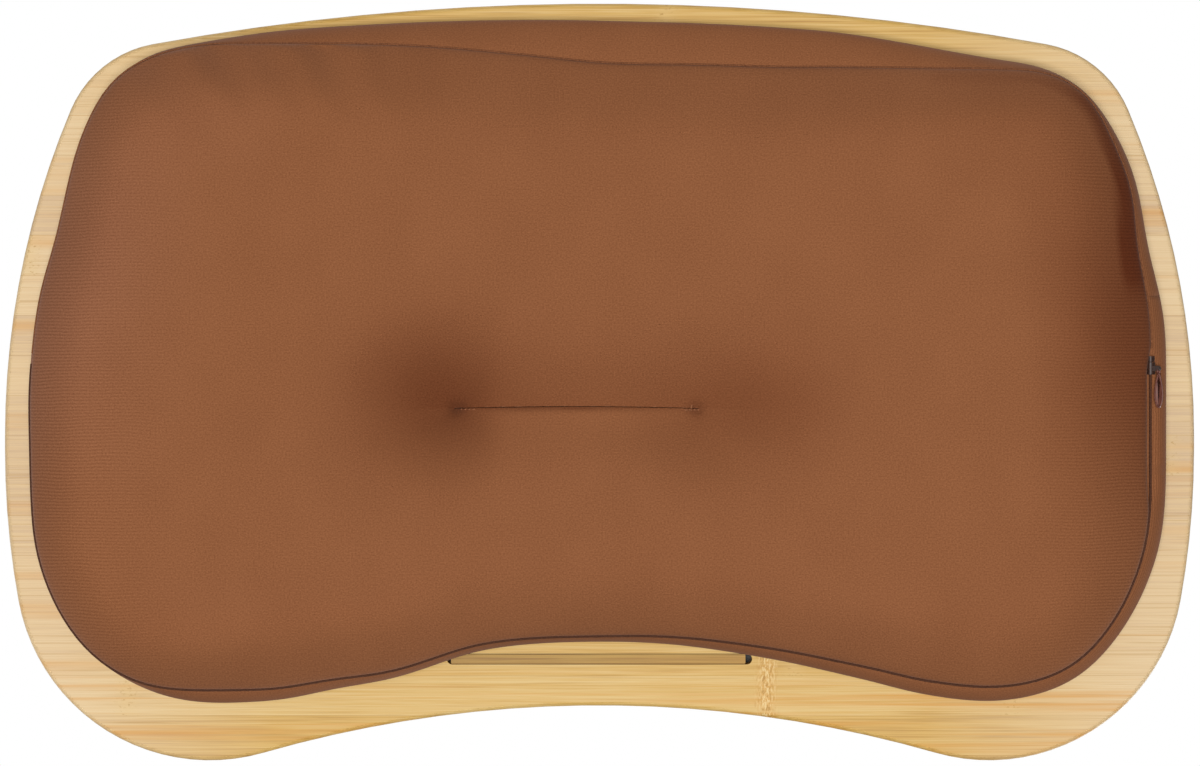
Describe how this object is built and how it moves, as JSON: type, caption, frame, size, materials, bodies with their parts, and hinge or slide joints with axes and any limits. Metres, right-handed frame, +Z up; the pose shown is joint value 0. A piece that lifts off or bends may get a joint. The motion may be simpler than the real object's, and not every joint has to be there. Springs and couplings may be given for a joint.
{
  "type": "lap tray with cushion",
  "caption": "Bamboo lap tray with a hollow belly edge and a lift-out stop bar, on a zipped fabric cushion tufted in the middle.",
  "frame": {"origin": "bottom centre of the whole object's box, on the plane that the cushion's face rests on", "axes": "+Z up in use, out of the tray's top face; the person sits at -Y, where the belly edge is; +X to that person's right"},
  "size_m": [0.55, 0.3499, 0.077],
  "materials": {
    "bamboo": "satin",
    "bamboo_stop": "satin",
    "cover_fabric": "matte",
    "casing_fabric": "matte",
    "fibre_filling": "matte",
    "thread": "matte",
    "hook_strip": "matte",
    "loop_strip": "matte",
    "zip_tape": "matte",
    "zip_coil": "matte",
    "zip_metal": "gloss"
  },
  "bodies": {
    "cushion": {"face_panel": "cover_fabric", "band_far": "cover_fabric", "band_near": "cover_fabric", "back_panel": "cover_fabric", "casing_face": "casing_fabric", "casing_back": "casing_fabric", "filling": "fibre_filling", "tuft_cord_left": "thread", "tuft_cord_right": "thread", "tuft_tack_left": "thread", "tuft_tack_right": "thread", "tuft_knot_left": "thread", "tuft_knot_right": "thread", "tuft_thread": "thread", "loop_strip_far_left": "loop_strip", "loop_strip_far_right": "loop_strip", "loop_strip_near_left": "loop_strip", "loop_strip_near_right": "loop_strip", "zip_tape_face": "zip_tape", "zip_tape_band": "zip_tape", "zip_coil": "zip_coil", "zip_top_stop": "zip_metal", "zip_end_stop": "zip_metal"},
    "tray": {"tray_board": "bamboo", "hook_strip_far_left": "hook_strip", "hook_strip_far_right": "hook_strip", "hook_strip_near_left": "hook_strip", "hook_strip_near_right": "hook_strip"},
    "stop": {"stop_bar": "bamboo_stop"},
    "slider": {"zip_slider": "zip_metal"},
    "pull": {"zip_pull": "zip_metal"}
  },
  "joints": [
    {"name": "tray_lift", "type": "slide", "parent": "cushion", "child": "tray", "axis": [0, 0, 1], "range_m": [0, 0.09]},
    {"name": "stop_lift", "type": "slide", "parent": "tray", "child": "stop", "axis": [0, 0, 1], "range_m": [0, 0.025]},
    {"name": "zip_travel", "type": "slide", "parent": "cushion", "child": "slider", "axis": [0, -1, 0], "range_m": [0, 0.048]},
    {"name": "pull_swing", "type": "hinge", "parent": "slider", "child": "pull", "pos_m": [-0.25374, 0.00615, 0.02682], "axis": [0.342, 0, -0.9397], "range_deg": [0, 165]}
  ]
}
